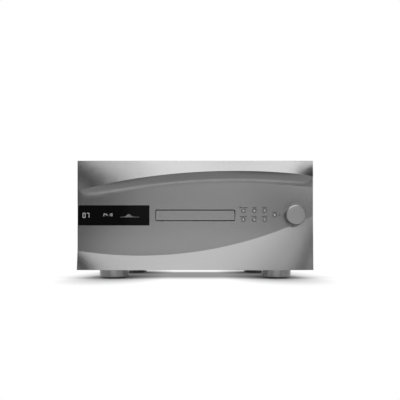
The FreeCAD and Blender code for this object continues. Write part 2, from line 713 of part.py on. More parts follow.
def rack_shape(module, teeth, back, thick, thin):
    """Rack along +Y, teeth towards +X, with its pitch line on X = 0 and the middle of a space at Y = 0."""
    step = math.pi * module
    slope = math.tan(PRESSURE)
    tip = module * 0.9
    root = module * 1.2
    width = step / 2 - thin
    corners = [Vector(-root - back, 0, 0), Vector(-root, 0, 0)]
    for tooth in range(teeth):
        middle = step * (tooth + 0.5)
        corners.append(Vector(-root, middle - width / 2 - root * slope, 0))
        corners.append(Vector(tip, middle - width / 2 + tip * slope, 0))
        corners.append(Vector(tip, middle + width / 2 - tip * slope, 0))
        corners.append(Vector(-root, middle + width / 2 + root * slope, 0))
    corners.append(Vector(-root, step * teeth, 0))
    corners.append(Vector(-root - back, step * teeth, 0))
    return Part.Face(Part.makePolygon(corners + corners[:1])).extrude(Vector(0, 0, thick))


def moved(shape, x, y, z):
    copy = shape.copy()
    copy.translate(Vector(x, y, z))
    return copy


def drive_train():
    """Places of the tray's gears: rack line, tray gear, drive pinion and motor."""
    module = value("gear_module")
    rack_x = -value("tray_width") / 2 + value("rack_back") + module * 1.2 + 2
    gear_x = rack_x + module * value("rack_gear_teeth") / 2
    pinion_x = gear_x + module * (value("rack_gear_teeth") + value("drive_pinion_teeth")) / 2
    row_y = value("deck_front_y + gear_row_y")
    return module, rack_x, gear_x, pinion_x, row_y


# Transport

def tray_rack():
    module, rack_x, _, _, row_y = drive_train()
    step = math.pi * module
    before = math.floor((row_y - value("tray_start_y")) / step) - 1
    after = math.ceil((value("tray_travel") + 3 * module) / step) + 1
    rack = rack_shape(module, before + after, value("rack_back"), value("rack_drop"), value("backlash") / 2)
    return moved(rack, rack_x, row_y - before * step, value("tray_bottom - rack_drop"))


def tray():
    plate = rounded("tray_plate", ("-tray_width / 2", "tray_width / 2"), ("tray_start_y", "tray_end_y"),
                    ("tray_bottom", "tray_top"), "3", "z")
    tools = [
        rod("disc_well", "disc_well_radius", "disc_well_depth + 1", "0", "disc_y", "well_floor"),
        rod("small_disc_well", "40.5", "disc_well_depth + 1", "0", "disc_y", "well_floor - 1.2"),
        rod("tray_slot_end", "tray_slot_width / 2", "tray_thick + 2", "0", "disc_y + 14", "tray_bottom - 1"),
        box("tray_slot", ("-tray_slot_width / 2", "tray_slot_width / 2"), ("disc_y + 14", "tray_end_y + 1"),
            ("tray_bottom - 1", "tray_top + 1")),
    ]
    doc.recompute()
    rack = formed("tray_rack", tray_rack())
    keep("tray", join("tray_body", [cut("tray_cut", plate, tools), rack]))


def tray_front():
    keep("tray_front", rounded("tray_front_body", ("-tray_front_width / 2", "tray_front_width / 2"),
         ("tray_front_y", "tray_start_y"), ("mid_z - tray_front_height / 2",
                                            "mid_z + tray_front_height / 2"),
         "mouth_corner - 1.4"))


def transport_deck():
    _, _, gear_x, pinion_x, row_y = drive_train()
    half = "deck_half"
    shelf_z = "tray_bottom - clearance - 2.5"
    y = ("deck_front_y", "deck_end_y")
    floor = box("deck_floor", ("-" + half, half), y, ("deck_z", "deck_top_z"))
    pieces = [floor]
    for side, sign in SIDES.items():
        outer = "%s * %s" % (sign, half)
        inner = "%s * (%s - deck_wall)" % (sign, half)
        lip = "%s * (tray_width / 2 - ledge)" % sign
        wall = (outer, inner) if side == "left" else (inner, outer)
        shelf = (inner, lip) if side == "left" else (lip, inner)
        keeper = (inner, "%s * (tray_width / 2 + guide_slack)" % sign)
        keeper = keeper if side == "left" else keeper[::-1]
        pieces.append(box("deck_wall_" + side, wall, y, ("deck_z", "bridge_z")))
        if side == "left":
            shelf = (inner, "-tray_width / 2 + 1.5")
        pieces.append(box("deck_shelf_" + side, shelf, y, (shelf_z, "tray_bottom - clearance")))
        pieces.append(box("deck_guide_" + side, keeper, y, (shelf_z, "tray_top + 0.2")))
    for index, (x, shift) in enumerate(FRAME_PINS):
        pieces.append(rod("lift_pin_%d" % index, "pin_radius", "tray_bottom - 1 - deck_z", x, shift,
                          "deck_z"))
    for name, x in (("gear", gear_x), ("pinion", pinion_x)):
        pieces.append(rod("axle_" + name, "axle_radius", "tray_bottom - 0.6 - deck_z", x, row_y, "deck_z"))
    pieces.append(rod("gear_collar", "axle_radius + 2", "tray_bottom - rack_drop + 0.6 - clearance - deck_z",
                      gear_x, row_y, "deck_z"))
    for index, x in enumerate((CAM_X + " - cam_wall / 2 - clearance - 2",
                               CAM_X + " + cam_wall / 2 + clearance")):
        pieces.append(box("cam_rail_%d" % index, (x, x + " + 2"), (CAM_Y + " - 40", CAM_Y + " + 40"),
                          ("deck_top_z - 1", "deck_top_z + 3")))
    holes = [
        box("deck_opening", ("-30", "30"), ("frame_front_y + 3", "frame_end_y - 1"), ("deck_z - 1",
                                                                                      "deck_top_z + 1")),
        rod("motor_shaft_hole", "4", "deck_floor + 2", "%g + belt_span" % pinion_x, row_y, "deck_z - 1"),
    ]
    blank = join("deck_blank", pieces)
    keep("transport_deck", cut("deck_cut", blank, holes))


CAM_X = "-frame_width / 2 - cam_gap - cam_wall / 2"
CAM_Y = "disc_y + 34"

FRAME_PINS = [(x, y) for y in ("frame_front_y + 7", "frame_end_y - 7")
              for x in ("-frame_width / 2 + 6", "frame_width / 2 - 6")]


def transport_posts():
    posts = []
    for x in ("-deck_half + 8", "deck_half - 8"):
        for y in ("deck_front_y + 8", "deck_end_y - 8"):
            posts.append(rod("post_%d" % len(posts), "post_radius", "deck_z - floor_z", x, y, "floor_z"))
    keep("transport_posts", group("post_set", posts))


def loading_parts():
    module, _, gear_x, pinion_x, row_y = drive_train()
    thin = value("backlash") / 2
    gear_teeth = int(value("rack_gear_teeth"))
    pinion_teeth = int(value("drive_pinion_teeth"))
    bore = value("axle_radius + running")
    gear_z = value("tray_bottom - rack_drop + 0.6")
    thick = value("gear_thick")
    # a tooth of the tray gear points at the rack's space, and one at the pinion's space
    gear = gear_shape(module, gear_teeth, bore, thick, thin, math.pi)
    keep("tray_gear", formed("tray_gear_form", moved(gear, gear_x, row_y, gear_z)))
    phase = math.pi + math.pi / pinion_teeth
    pinion = gear_shape(module, pinion_teeth, bore, thick, thin, phase)
    wheel_z = value("deck_top_z + clearance")
    radius = value("drive_pulley_radius")
    pulley = pulley_shape(radius, bore)
    hub = Part.makeCylinder(5, gear_z - wheel_z - value("pulley_thick")).cut(
        Part.makeCylinder(bore, gear_z - wheel_z))
    pulley = moved(pulley, 0, 0, wheel_z)
    hub = moved(hub, 0, 0, wheel_z + value("pulley_thick"))
    pinion = moved(pinion, 0, 0, gear_z)
    drive = pulley.fuse([hub, pinion]).removeSplitter()
    keep("drive_pulley", formed("drive_pulley_form", moved(drive, pinion_x, row_y, 0)))
    motor_x = pinion_x + value("belt_span")
    small = pulley_shape(value("motor_pulley_radius"), 0)
    reach = value("motor_shaft_reach")
    shaft = moved(Part.makeCylinder(value("motor_shaft_radius"), reach + 2), 0, 0, -reach)
    keep("motor_pulley", formed("motor_pulley_form", moved(small.fuse(shaft), motor_x, row_y, wheel_z)))
    groove = value("pulley_thick") / 2
    belt = belt_shape(radius - 1 + value("clearance"), value("motor_pulley_radius") - 1 + value("clearance"),
                      value("belt_span"), value("belt_wall"))
    keep("loading_belt", formed("loading_belt_form", moved(belt, pinion_x, row_y, wheel_z + groove - 0.6)))
    motor = rod("loading_can", "12", "22", motor_x, row_y, "deck_z - 22")
    bore_tool = rod("loading_bore", "1 + running", "30", motor_x, row_y, "deck_z - 14")
    keep("loading_motor", cut("loading_motor_cut", motor, [bore_tool]))


def pulley_shape(radius, bore):
    """Grooved wheel about Z, standing on Z = 0."""
    thick = value("pulley_thick")
    rim = 1
    corners = [Vector(0, 0, 0), Vector(radius, 0, 0), Vector(radius, 0, rim), Vector(radius - 1, 0,
                                                                                     rim + 0.3),
               Vector(radius - 1, 0, thick - rim - 0.3), Vector(radius, 0, thick - rim),
               Vector(radius, 0, thick), Vector(0, 0, thick)]
    face = Part.Face(Part.makePolygon(corners + corners[:1]))
    wheel = face.revolve(Vector(), Vector(0, 0, 1), 360)
    if bore > 0:
        wheel = wheel.cut(Part.makeCylinder(bore, thick))
    return wheel


def belt_shape(large, small, span, wall):
    """Open belt round two wheels, the large one at the origin and the small one at X = span."""
    def loop(first, second):
        angle = math.acos((first - second) / span)
        a = Vector(first * math.cos(angle), first * math.sin(angle), 0)
        b = Vector(span + second * math.cos(angle), second * math.sin(angle), 0)
        c = Vector(b.x, -b.y, 0)
        d = Vector(a.x, -a.y, 0)
        edges = [Part.LineSegment(a, b), Part.Arc(b, Vector(span + second, 0, 0), c),
                 Part.LineSegment(c, d), Part.Arc(d, Vector(-first, 0, 0), a)]
        return Part.Face(Part.Wire([edge.toShape() for edge in edges]))
    return loop(large + wall, small + wall).cut(loop(large, small)).extrude(Vector(0, 0, 1.2))


def clamp_bridge():
    plate = slab("bridge_plate", "XY_Plane", [
        ("-deck_half", "disc_y - 24"), ("deck_half", "disc_y - 24"),
        ("deck_half", "disc_y + 24"), ("-deck_half", "disc_y + 24"),
    ], "bridge_z", "bridge_wall")
    hole = rod("bridge_hole", "clamp_flange_radius - 3 + clearance", "bridge_wall + 2", "0", "disc_y",
               "bridge_z - 1")
    keep("clamp_bridge", cut("bridge_cut", plate, [hole]))


def clamp_disc():
    keep("clamp_disc", turned("clamp_body", [
        ("cone_radius + 1", "0"), ("clamp_radius", "0"), ("clamp_radius", "2.6"),
        ("clamp_flange_radius - 3", "2.6"), ("clamp_flange_radius - 3", "3.2 + bridge_wall + clearance"),
        ("clamp_flange_radius", "3.2 + bridge_wall + clearance"), ("clamp_flange_radius",
                                                                   "3.2 + bridge_wall + 2"),
        ("0", "3.2 + bridge_wall + 2"), ("0", "3"), ("cone_radius + 1", "3"),
    ], "0", "disc_y", "clamp_z"))


def traverse_frame():
    plate = rounded("frame_plate", ("-frame_width / 2", "frame_width / 2"), ("frame_front_y", "frame_end_y"),
                    ("frame_z", "frame_top"), "5", "z")
    tools = [
        rod("motor_seat", "spindle_motor_radius + 0.2", "frame_thick + 2", "0", "disc_y", "frame_z - 1"),
        box("sled_opening", ("-rod_x - 3.5", "rod_x + 3.5"),
            ("disc_y + lens_start - 7.5", "disc_y + lens_start + sled_travel + sled_length - 5"),
            ("frame_z - 1", "frame_top + 1")),
    ]
    for index, (x, y) in enumerate(FRAME_PINS):
        tools.append(rod("pin_bore_%d" % index, "pin_radius + running", "frame_thick + 2", x, y,
                         "frame_z - 1"))
    _, _, feed_x, feed_y = feed_place()
    tools.append(rod("feed_shaft_bore", "feed_shaft_radius + clearance", "frame_thick + 2",
                     feed_x, feed_y, "frame_z - 1"))
    for side, sign in SIDES.items():
        tools.append(rod("rod_seat_" + side, "rod_radius + running", "sled_travel + sled_length + 8",
                         "%s * rod_x" % sign, "disc_y + lens_start - 10.5", "frame_z + frame_thick / 2",
                         "y"))
    blank = cut("frame_cut", plate, tools)
    pin = rod("cam_follower", "follower_radius", "cam_gap + cam_wall + 2",
              "-frame_width / 2 - cam_gap - cam_wall - 1",
              CAM_Y, "frame_z + frame_thick / 2", "x")
    keep("traverse_frame", join("traverse_frame_body", [blank, pin]))


def lift_cam():
    """Plate that slides along Y; its slanted slot lifts the frame's follower pin."""
    run = value("cam_travel")
    rise = value("lift_travel")
    low = Vector(0, value(CAM_Y), value("frame_z + frame_thick / 2"))
    high = low + Vector(0, -run, rise)
    radius = value("follower_radius + clearance")
    side = (high - low).normalize().cross(Vector(1, 0, 0)) * radius
    ahead = (high - low).normalize() * radius
    edges = [
        Part.LineSegment(low + side, high + side), Part.Arc(high + side, high + ahead, high - side),
        Part.LineSegment(high - side, low - side), Part.Arc(low - side, low - ahead, low + side),
    ]
    slot = Part.Face(Part.Wire([edge.toShape() for edge in edges]))
    start = value(CAM_X + " - cam_wall / 2")
    wall = value("cam_wall")
    slot.translate(Vector(start - 1, 0, 0))
    bottom = value("deck_top_z + clearance")
    end = value("cam_end")
    height = value("tray_bottom - 0.8") - bottom
    plate = Part.makeBox(wall, run + 2 * end, height, Vector(start, high.y - end, bottom))
    keep("lift_cam", formed("lift_cam_form", plate.cut(slot.extrude(Vector(wall + 2, 0, 0)))))


def spindle_motor():
    blank = turned("spindle_motor_body", [
        ("spindle_radius + running", "-4"), ("spindle_motor_radius", "-4"),
        ("spindle_motor_radius", "frame_thick"), ("spindle_motor_radius + 2.5", "frame_thick"),
        ("spindle_motor_radius + 2.5", "frame_thick + 1"), ("6", "frame_thick + 1"),
        ("6", "frame_thick + 3"), ("spindle_radius + running", "frame_thick + 3"),
    ], "0", "disc_y", "frame_z")
    keep("spindle_motor", blank)


def turntable():
    keep("turntable", turned("turntable_body", [
        ("0", "-8"), ("spindle_radius", "-8"), ("spindle_radius", "-2"), ("5", "-2"), ("5", "0"),
        ("platter_radius", "0"), ("platter_radius", "platter_thick"), ("cone_radius", "platter_thick"),
        ("cone_radius - 1.2", "platter_thick + cone_rise"), ("0", "platter_thick + cone_rise"),
    ], "0", "disc_y", "platter_z"))


def sled_rods():
    rods = []
    for side, sign in SIDES.items():
        rods.append(rod("sled_rod_" + side, "rod_radius", "sled_travel + sled_length + 8",
                        "%s * rod_x" % sign,
                        "disc_y + lens_start - 10.5", "frame_z + frame_thick / 2", "y"))
    keep("sled_rods", group("sled_rod_set", rods))


def feed_place():
    """Pitch line of the sled's rack and the feed gear's centre."""
    module = value("feed_module")
    rack_x = 14.0
    gear_x = rack_x + module * value("feed_teeth") / 2
    gear_y = value("disc_y + lens_start + sled_travel + sled_length - 5 + 10")
    return module, rack_x, gear_x, gear_y


def pickup_sled():
    start = "disc_y + lens_start - 6"
    y = (start, start + " + sled_length")
    middle = "frame_z + frame_thick / 2"
    block = box("sled_block", ("-12", "12"), y, (middle + " - 2.4", "frame_top + 3"))
    pieces = [block]
    for side, sign in SIDES.items():
        near = "%s * 11" % sign
        far = "%s * (rod_x + 3)" % sign
        span = (far, near) if side == "left" else (near, far)
        pieces.append(box("sled_arm_" + side, span, (start + " + 4", start + " + sled_length - 4"),
                          (middle + " - 2.4", middle + " + 2.4")))
    lens = turned("sled_lens", [("0", "0"), ("lens_radius + 2", "0"), ("lens_radius + 2", "2.4"),
                                ("lens_radius", "2.4"), ("lens_radius * 0.5", "3.4"), ("0", "3.6")],
                  "0", "disc_y + lens_start", "frame_top + 3")
    pieces.append(lens)
    module, rack_x, _, gear_y = feed_place()
    step = math.pi * module
    before = math.ceil((gear_y - value(y[1]) + 6) / step)
    rack = rack_shape(module, before + 2, 2.4, 3, value("backlash") / 2)
    pieces.append(formed("sled_rack", moved(rack, rack_x, gear_y - before * step, value("frame_top + 0.4"))))
    holes = []
    for side, sign in SIDES.items():
        holes.append(rod("sled_bush_" + side, "rod_radius + running", "sled_length + 2", "%s * rod_x" % sign,
                         start + " - 1", middle, "y"))
    keep("pickup_sled", cut("sled_cut", join("sled_blank", pieces), holes))


def feed_parts():
    module, _, gear_x, gear_y = feed_place()
    teeth = int(value("feed_teeth"))
    gear = gear_shape(module, teeth, 0.5, 3, value("backlash") / 2, math.pi)
    shaft = moved(Part.makeCylinder(value("feed_shaft_radius"), value("frame_thick") + 5.4), 0, 0,
                  -value("frame_thick") - 4.4)
    both = gear.fuse(shaft)
    top = value("frame_top + 0.4")
    keep("feed_gear", formed("feed_gear_form", moved(both, gear_x, gear_y, top)))
    can = rod("feed_can", "6", "9", gear_x, gear_y, "frame_z - 9")
    bore = rod("feed_bore", "feed_shaft_radius + running", "30", gear_x, gear_y, "frame_z - 5")
    keep("sled_motor", cut("sled_motor_cut", can, [bore]))


# Electronics

REAR_BOARDS_Y = ("rear_boards_y", "rear_inner_y - rear_boards_gap")
BOARDS = {
    "power_board": (("-power_board_width / 2", "power_board_width / 2"),
                    ("disc_y - power_board_ahead", "disc_y + power_board_behind")),
    "main_board": (("main_board_end - main_board_width", "main_board_end"), REAR_BOARDS_Y),
    "output_board": (("output_board_x", "output_board_x + output_board_width"), REAR_BOARDS_Y),
}
# Parts on each board: left and front corner from the board's own, width, length and height
CHIPS = {
    "power_board": [(16, 14, 22, 30, 12), (16, 60, 22, 30, 12), (120, 10, 20, 46, 16), (116, 70, 26, 40, 5)],
    "main_board": [(12, 20, 22, 22, 3), (46, 18, 30, 30, 5), (84, 22, 14, 14, 2), (88, 56, 20, 24, 3),
                   (24, 70, 34, 14, 8), (64, 90, 10, 28, 4)],
    "output_board": [(14, 24, 16, 26, 3), (44, 24, 16, 26, 3), (104, 24, 16, 26, 3), (134, 24, 16, 26, 3),
                     (24, 80, 12, 18, 10), (64, 80, 12, 18, 10), (114, 80, 12, 18, 10), (154, 80, 12, 18,
                                                                                         10)],
}


def transformers():
    for side, sign in SIDES.items():
        x = "%s * toroid_x" % sign
        ring = turned("toroid_ring_" + side, [
            ("toroid_hole", "0"), ("toroid_radius - toroid_edge", "0"), ("toroid_radius", "toroid_edge"),
            ("toroid_radius", "toroid_height - toroid_edge"), ("toroid_radius - toroid_edge",
                                                               "toroid_height"),
            ("toroid_hole", "toroid_height"),
        ], x, "toroid_y", "floor_z")
        washer = rod("toroid_washer_" + side, "washer_radius", "washer", x, "toroid_y",
                     "floor_z + toroid_height")
        bolt = rod("toroid_bolt_" + side, "toroid_bolt_radius", "toroid_height + toroid_bolt_rise",
                   x, "toroid_y", "floor_z")
        keep("transformer_" + side, join("transformer_body_" + side, [ring, washer, bolt]))


def circuit_boards():
    for name, (x, y) in BOARDS.items():
        pieces = [box(name + "_card", x, y, ("board_z", "board_z + board"))]
        for index, (left, ahead, width, length, height) in enumerate(CHIPS[name]):
            pieces.append(box("%s_chip_%d" % (name, index),
                              ("%s + %d" % (x[0], left), "%s + %d" % (x[0], left + width)),
                              ("%s + %d" % (y[0], ahead), "%s + %d" % (y[0], ahead + length)),
                              ("board_z + board", "board_z + board + %d" % height)))
        keep(name, join(name + "_body", pieces))


def board_standoffs():
    posts = []
    for x, y in BOARDS.values():
        for across in (x[0] + " + standoff_inset", x[1] + " - standoff_inset"):
            for along in (y[0] + " + standoff_inset", y[1] + " - standoff_inset"):
                posts.append(rod("standoff_%d" % len(posts), "standoff_radius", "board_lift",
                                 across, along, "floor_z"))
    keep("board_standoffs", group("standoff_set", posts))


def capacitors():
    cans = []
    for row in range(2):
        for column in range(2):
            cans.append(rod("capacitor_%d_%d" % (row, column), "capacitor_radius", "capacitor_height",
                            "-(capacitor_radius + 1) + %d * (2 * capacitor_radius + 4)" % column,
                            "disc_y + 22 + %d * (2 * capacitor_radius + 6)" % row, "board_z + board"))
    keep("capacitors", group("capacitor_set", cans))


# Rear panel and its sockets

PHONO = [(x, z) for z in ("mid_z + phono_rise", "mid_z - phono_rise") for x in ("phono_x",
                                                                                "phono_x + phono_pitch")]
BAYONET = [("bayonet_x + %d * bayonet_pitch" % column, "mid_z") for column in range(4)]
BALANCED = [("case_half - balanced_from_side - %d * balanced_pitch" % column, "mid_z") for column in (1, 0)]
NETWORK = ("network_from_side - case_half", "floor_z + low_row")
DATA = ("data_from_side - case_half", "floor_z + low_row")
INLET = ("inlet_from_side - case_half", "floor_z + low_row")
ROCKER = ("rocker_from_side - case_half", "floor_z + low_row")
INLET_MIDDLE = "(inlet_from_side + rocker_from_side) / 2 - case_half"


def around(x, z, width, height):
    """Ranges along X and Z about a middle."""
    return ((x + " - (%s) / 2" % width, x + " + (%s) / 2" % width),
            (z + " - (%s) / 2" % height, z + " + (%s) / 2" % height))


def rear_panel():
    plate = slab("rear_sheet", "XZ_Plane", [
        ("-case_half", "floor_z"), ("case_half", "floor_z"), ("case_half", "ceiling_z"), ("-case_half",
                                                                                          "ceiling_z"),
    ], "rear_inner_y", "sheet_plate")
    y = ("rear_inner_y - 1", "rear_y + 1")
    tools = []
    for kind, spots, radius in (("phono", PHONO, "phono_radius + clearance"),
                                ("bayonet", BAYONET, "bayonet_radius + clearance"),
                                ("balanced", BALANCED, "balanced_radius + clearance")):
        for index, (x, z) in enumerate(spots):
            tools.append(rod("%s_hole_%d" % (kind, index), radius, "sheet_plate + 2", x, y[0], z, "y"))
    for name, (x, z), width, height in (("network", NETWORK, "17", "15"), ("data", DATA, "13", "12")):
        across, up = around(x, z, width, height)
        tools.append(box(name + "_hole", across, y, up))
    across, up = around(INLET_MIDDLE, INLET[1], "inlet_body_width + 1", "inlet_height + 4")
    tools.append(box("inlet_hole", across, y, up))
    for side, sign in SIDES.items():
        for index, z in enumerate(REAR_SCREWS_Z):
            tools.append(rod("rear_hole_%s_%d" % (side, index), "screw_radius + screw_slack",
                             "sheet_plate + 2",
                             "%s * (case_half - side_wall / 2)" % sign, y[0], z, "y"))
    for row in range(5):
        z = "ceiling_z - rear_vent_drop - %d * rear_vent_step" % row
        for column in range(12):
            x = "%g * rear_vent_pitch" % (column - 5.5)
            tools.append(box("rear_vent_%d_%d" % (row, column),
                             (x + " - rear_vent_length / 2", x + " + rear_vent_length / 2"), y,
                             (z, z + " + rear_vent_slot")))
    keep("rear_panel", cut("rear_panel_cut", plate, tools))


def socket_set(kind, spots, corners):
    """Turned sockets of one kind, each about its own spot on the rear panel."""
    sockets = []
    for index, (x, z) in enumerate(spots):
        sockets.append(turned("%s_%d" % (kind, index), corners, x, "rear_y", z, "y"))
    return sockets


def phono_sockets():
    keep("phono_sockets", group("phono_set", socket_set("phono", PHONO, [
        ("0", "-sheet_plate - 12"), ("6", "-sheet_plate - 12"), ("6", "-sheet_plate"),
        ("phono_radius", "-sheet_plate"), ("phono_radius", "0"), ("6.4", "0"), ("6.4", "2"),
        ("phono_radius", "2"), ("phono_radius", "jack_reach"), ("phono_bore", "jack_reach"),
        ("phono_bore", "1"), ("0", "1"),
    ])))


def bayonet_sockets():
    sockets = socket_set("bayonet", BAYONET, [
        ("0", "-sheet_plate - 12"), ("7", "-sheet_plate - 12"), ("7", "-sheet_plate"),
        ("bayonet_radius", "-sheet_plate"), ("bayonet_radius", "0"), ("7.2", "0"), ("7.2", "2"),
        ("bayonet_radius", "2"), ("bayonet_radius", "jack_reach - 0.5"), ("3.6", "jack_reach - 0.5"),
        ("3.6", "1"), ("0.7", "1"), ("0.7", "jack_reach - 3"), ("0", "jack_reach - 3"),
    ])
    whole = []
    for index, (x, z) in enumerate(BAYONET):
        lug = rod("bayonet_lug_%d" % index, "0.9", "bayonet_radius * 2 + 2", x + " - bayonet_radius - 1",
                  "rear_y + jack_reach - 2.5", z, "x")
        core = rod("bayonet_core_%d" % index, "bayonet_radius - 0.6", "jack_reach", x, "rear_y + 1", z, "y")
        whole.append(join("bayonet_whole_%d" % index, [sockets[index], cut("bayonet_lugs_%d" % index, lug,
                                                                           [core])]))
    keep("bayonet_sockets", group("bayonet_set", whole))


def balanced_sockets():
    whole = []
    for index, (x, z) in enumerate(BALANCED):
        name = "balanced_%d" % index
        across, up = around(x, z, "balanced_plate_width", "balanced_plate_height")
        plate = rounded(name + "_plate", across, ("rear_y", "rear_y + 2"), up, "3")
        shell = rod(name + "_shell", "balanced_radius", "sheet_plate + 20", x, "rear_inner_y - 18", z, "y")
        cavity = rod(name + "_cavity", "balanced_radius - 2.6", "24", x, "rear_y - 15", z, "y")
        blank = cut(name + "_cup", join(name + "_blank", [plate, shell]), [cavity])
        pins = []
        for pin, (px, pz) in enumerate((("- 3.5", "+ 2"), ("+ 3.5", "+ 2"), ("+ 0", "- 4"))):
            pins.append(rod("%s_pin_%d" % (name, pin), "1.2", "11", "%s %s" % (x, px), "rear_y - 16",
                            "%s %s" % (z, pz), "y"))
        whole.append(join(name, [blank] + pins))
    keep("balanced_sockets", group("balanced_set", whole))


def data_sockets():
    across, up = around(*NETWORK, "16", "14")
    shell = box("network_shell", across, ("rear_y - 18", "rear_y + 0.5"), up)
    across, up = around(*NETWORK, "11.8", "8.2")
    cavity = box("network_cavity", across, ("rear_y - 13", "rear_y + 1"), up)
    network = cut("network_socket", shell, [cavity])
    across, up = around(*DATA, "12", "11")
    shell = box("data_shell", across, ("rear_y - 16", "rear_y + 0.5"), up)
    across, up = around(*DATA, "8.6", "7.8")
    cavity = box("data_cavity", across, ("rear_y - 10", "rear_y + 1"), up)
    across, up = around(*DATA, "5.6", "3.2")
    tongue = box("data_tongue", across, ("rear_y - 11", "rear_y - 1"), up)
    data = join("data_socket", [cut("data_cup", shell, [cavity]), tongue])
    keep("data_sockets", group("data_set", [network, data]))


def mains_inlet():
    across, up = around(INLET_MIDDLE, INLET[1], "inlet_body_width", "inlet_height + 3")
    body = box("inlet_body", across, ("rear_y - inlet_depth", "rear_y"), up)
    across, up = around(INLET_MIDDLE, INLET[1], "inlet_body_width + 7", "inlet_height + 9")
    flange = rounded("inlet_flange", across, ("rear_y", "rear_y + 2"), up, "3")
    across, up = around(*INLET, "inlet_width - 3", "inlet_height - 3.5")
    cavity = box("inlet_cavity", across, ("rear_y - 15", "rear_y + 3"), up)
    across, up = around(*ROCKER, "rocker_width + 2 * clearance", "rocker_height + 1")
    well = box("rocker_well", across, ("rear_y - 10", "rear_y + 3"), up)
    pivot = rod("rocker_bore", "1.2 + running", "rocker_width + 4", ROCKER[0] + " - rocker_width / 2 - 2",
                "rear_y - 1", ROCKER[1], "x")
    blades = []
    for index, (x, z) in enumerate(((-7, -2), (7, -2), (0, 3))):
        blades.append(box("blade_%d" % index, (INLET[0] + " + %d - 1" % x, INLET[0] + " + %d + 1" % x),
                          ("rear_y - 16", "rear_y - 5"), (INLET[1] + " + %d - 2" % z,
                                                          INLET[1] + " + %d + 2" % z)))
    cup = cut("inlet_cup", join("inlet_blank", [body, flange]), [cavity, well, pivot])
    keep("mains_inlet", join("mains_inlet_body", [cup] + blades))


def mains_rocker():
    """Paddle with a shallow V face, tilted about X to its off position."""
    half = value("rocker_height") / 2 - 0.8
    width = value("rocker_width")
    profile = [Vector(0, 2.8, half), Vector(0, 1.2, 0), Vector(0, 2.8, -half), Vector(0, -3.5, 2 - half),
               Vector(0, -3.5, half - 2)]
    paddle = Part.Face(Part.makePolygon(profile + profile[:1])).extrude(Vector(width, 0, 0))
    pin = Part.makeCylinder(1.2, width + 3, Vector(-1.5, 0, 0), Vector(1, 0, 0))
    shape = paddle.fuse(pin)
    shape.rotate(Vector(), Vector(1, 0, 0), -value("rocker_tilt"))
    shape.translate(Vector(value(ROCKER[0] + " - rocker_width / 2"), value("rear_y - 1"), value(ROCKER[1])))
    keep("mains_rocker", formed("mains_rocker_form", shape))


def build():
    fill_sheet()
    front_panel()
    display_window()
    display_module()
    status_lens()
    front_subpanel()
    base_plate()
    top_cover()
    side_panels()
    case_screws()
    front_panel_screws()
    feet()
    foot_pads()
    foot_bolts()
    buttons()
    button_board()
    control_knob()
    knob_encoder()
    tray()
    tray_front()
    transport_deck()
    transport_posts()
    loading_parts()
    clamp_bridge()
    clamp_disc()
    traverse_frame()
    lift_cam()
    spindle_motor()
    turntable()
    sled_rods()
    pickup_sled()
    feed_parts()
    transformers()
    circuit_boards()
    board_standoffs()
    capacitors()
    rear_panel()
    phono_sockets()
    bayonet_sockets()
    balanced_sockets()
    data_sockets()
    mains_inlet()
    mains_rocker()


def check_and_write():
    """Stop on any failed object, then write one file per sub-part."""
    doc.recompute()
    for obj in doc.Objects:
        if "Invalid" in obj.State or "Error" in obj.State:
            raise RuntimeError("%s failed: %s" % (obj.Name, obj.State))
    os.makedirs("parts", exist_ok=True)
    for obj in subparts:
        if obj.Shape.isNull() or not obj.Shape.isValid():
            raise RuntimeError(obj.Label + " has no valid shape")
    for obj in subparts:
        obj.Shape.exportStep("parts/%s.step" % obj.Label)


build()
check_and_write()
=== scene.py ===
"""Looks of the disc player: finishes, printed marks, display figures, studio and camera."""
import bpy
import json
import math
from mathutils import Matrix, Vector

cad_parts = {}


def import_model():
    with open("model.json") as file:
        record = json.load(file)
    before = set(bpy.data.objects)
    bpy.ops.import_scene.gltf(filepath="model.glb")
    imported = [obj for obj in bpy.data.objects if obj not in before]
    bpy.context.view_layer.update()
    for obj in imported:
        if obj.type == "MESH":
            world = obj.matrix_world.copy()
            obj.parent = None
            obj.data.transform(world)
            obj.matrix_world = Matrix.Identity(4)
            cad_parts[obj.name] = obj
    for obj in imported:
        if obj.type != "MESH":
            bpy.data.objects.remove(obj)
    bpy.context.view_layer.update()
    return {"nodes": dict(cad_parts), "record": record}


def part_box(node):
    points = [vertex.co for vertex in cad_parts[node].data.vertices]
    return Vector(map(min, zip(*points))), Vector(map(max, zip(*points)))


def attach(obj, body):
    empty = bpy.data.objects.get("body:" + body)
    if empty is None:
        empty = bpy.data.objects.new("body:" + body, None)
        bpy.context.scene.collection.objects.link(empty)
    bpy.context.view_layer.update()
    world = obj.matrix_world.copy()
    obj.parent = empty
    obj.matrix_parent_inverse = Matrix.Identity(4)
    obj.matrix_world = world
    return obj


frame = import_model()
nodes = frame["nodes"]


# Node trees

def new_material(name):
    """Material with a principled shader, and short ways to add and link nodes."""
    mat = bpy.data.materials.new(name)
    mat.use_nodes = True
    tree = mat.node_tree
    tree.nodes.clear()
    out = tree.nodes.new("ShaderNodeOutputMaterial")
    shader = tree.nodes.new("ShaderNodeBsdfPrincipled")
    tree.links.new(shader.outputs["BSDF"], out.inputs["Surface"])
    return mat, tree, shader


def add(tree, kind, **inputs):
    """New node of a kind, with its inputs set by name."""
    node = tree.nodes.new(kind)
    for key, amount in inputs.items():
        node.inputs[key.replace("_", " ")].default_value = amount
    return node


def stretched(tree, scale):
    """Object coordinates stretched by three factors."""
    where = tree.nodes.new("ShaderNodeTexCoord")
    mapping = tree.nodes.new("ShaderNodeMapping")
    mapping.inputs["Scale"].default_value = scale
    tree.links.new(where.outputs["Object"], mapping.inputs["Vector"])
    return mapping.outputs["Vector"]


